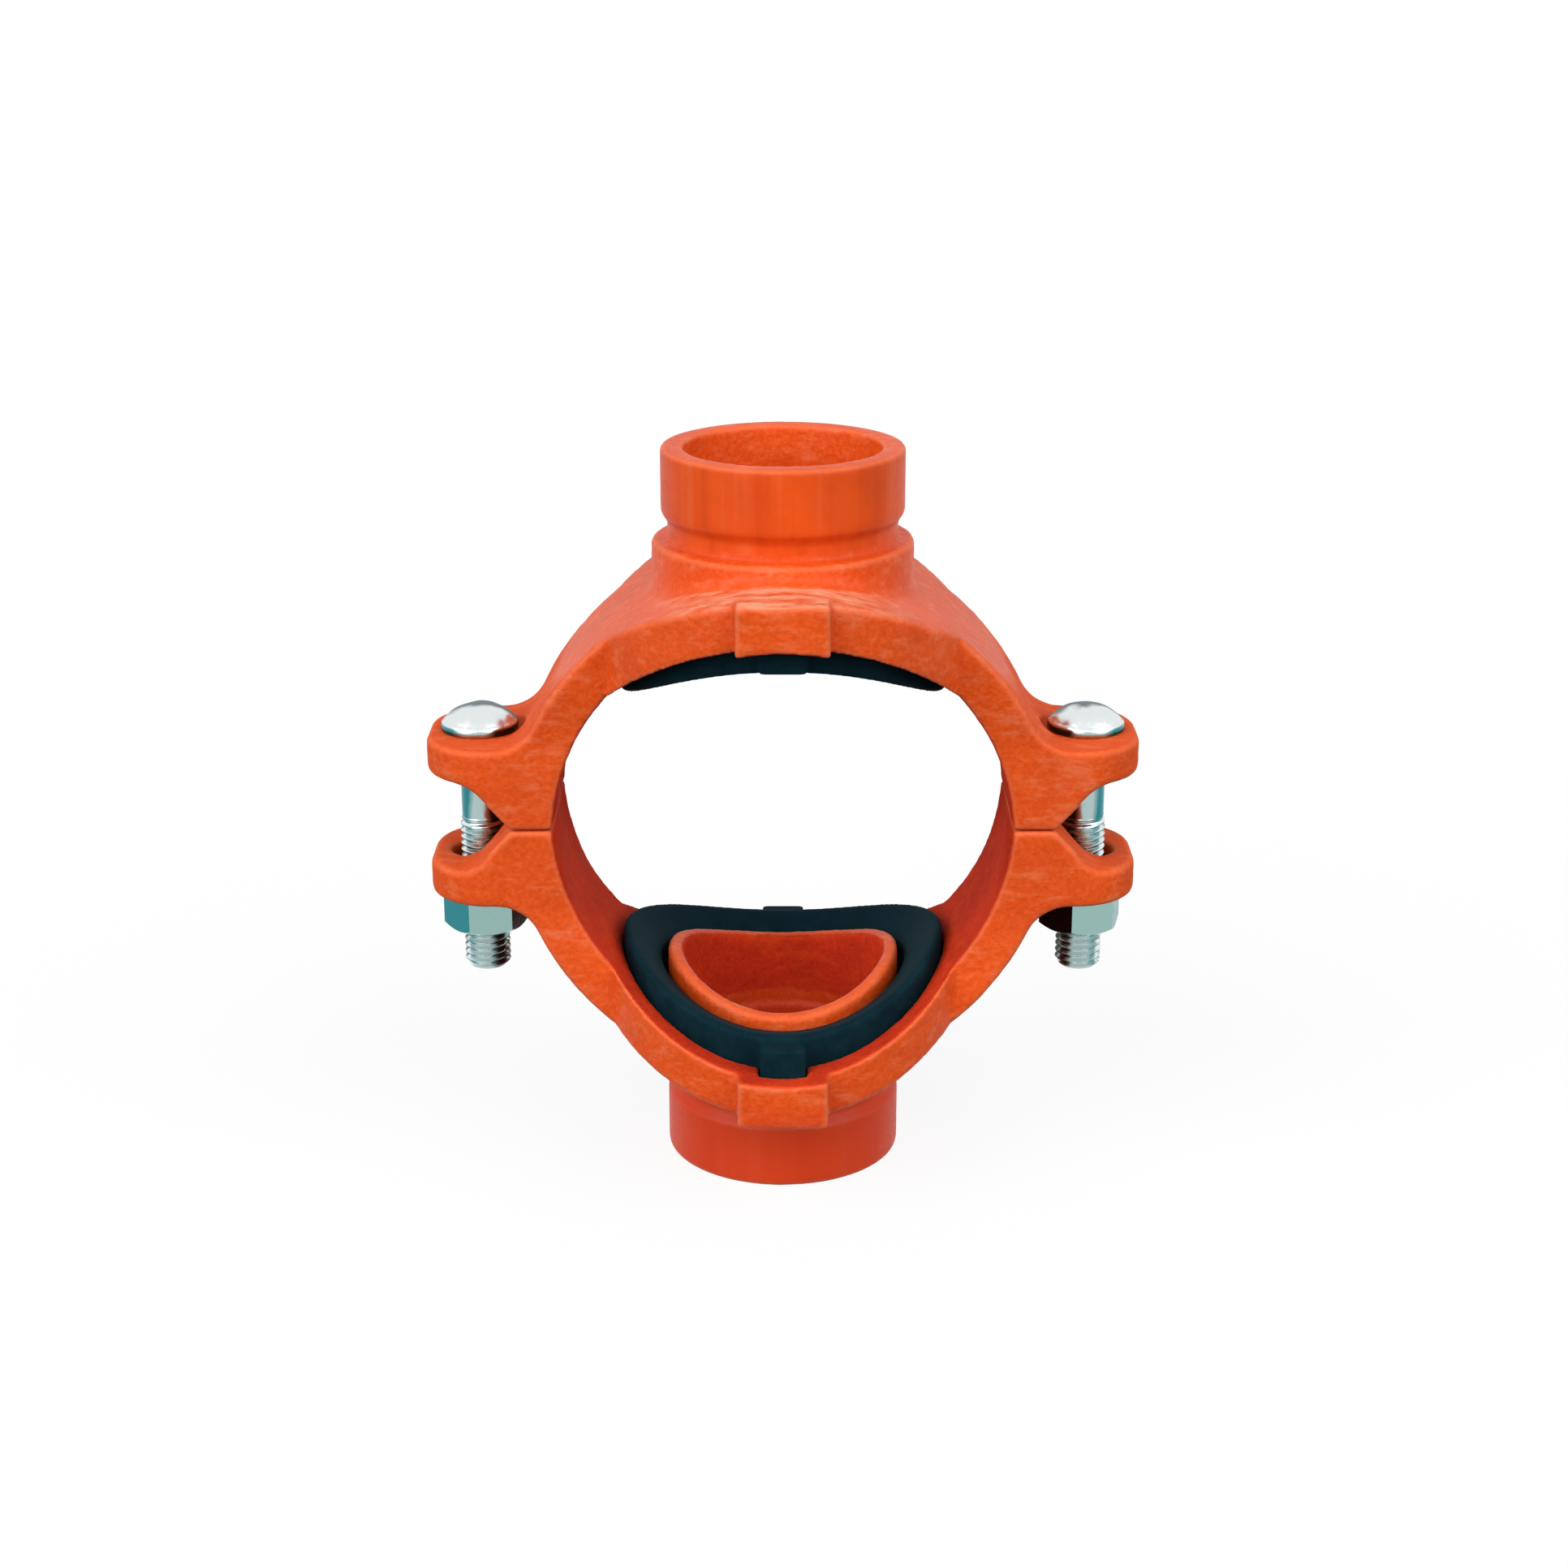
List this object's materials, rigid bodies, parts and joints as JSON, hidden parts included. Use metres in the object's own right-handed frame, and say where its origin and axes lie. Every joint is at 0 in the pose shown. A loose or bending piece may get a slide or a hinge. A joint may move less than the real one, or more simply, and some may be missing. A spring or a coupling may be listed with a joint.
{
  "type": "mechanical cross",
  "caption": "Bolted split saddle fitting that clamps round a run pipe over holes cut in its top and bottom and gives a grooved outlet above and below.",
  "frame": {"origin": "where the run pipe's axis crosses the axis of the two outlets, in the plane in which the two castings meet", "axes": "+Z along the upper outlet, away from the run pipe; Y along the run pipe; X from bolt to bolt, +X towards the right bolt as the picture shows it"},
  "size_m": [0.1792, 0.1064, 0.1864],
  "materials": {
    "painted_casting": "orange paint over a slightly pitted ductile iron casting, semi-gloss",
    "gasket_rubber": "moulded black rubber, satin",
    "zinc_plated_steel": "bright zinc plating"
  },
  "bodies": {
    "lower_half": {"lower_housing": "painted_casting", "lower_gasket": "gasket_rubber"},
    "upper_half": {"upper_housing": "painted_casting", "upper_gasket": "gasket_rubber", "left_bolt": "zinc_plated_steel", "right_bolt": "zinc_plated_steel"},
    "left_nut": {"left_nut": "zinc_plated_steel"},
    "right_nut": {"right_nut": "zinc_plated_steel"}
  },
  "joints": [
    {"name": "halves_gap", "type": "slide", "parent": "lower_half", "child": "upper_half", "axis": [0, 0, 1], "range_m": [0, 0.011]},
    {"name": "left_nut_turn", "type": "hinge", "parent": "lower_half", "child": "left_nut", "pos_m": [-0.0767, 0, -0.0205], "axis": [0, 0, -1], "range_deg": [0, 2270]},
    {"name": "right_nut_turn", "type": "hinge", "parent": "lower_half", "child": "right_nut", "pos_m": [0.0767, 0, -0.0205], "axis": [0, 0, -1], "range_deg": [0, 2270]}
  ],
  "couplings": [
    {"joint": "left_nut_turn", "follows": "halves_gap", "rad_per_m": 3590.4},
    {"joint": "right_nut_turn", "follows": "halves_gap", "rad_per_m": 3590.4}
  ]
}
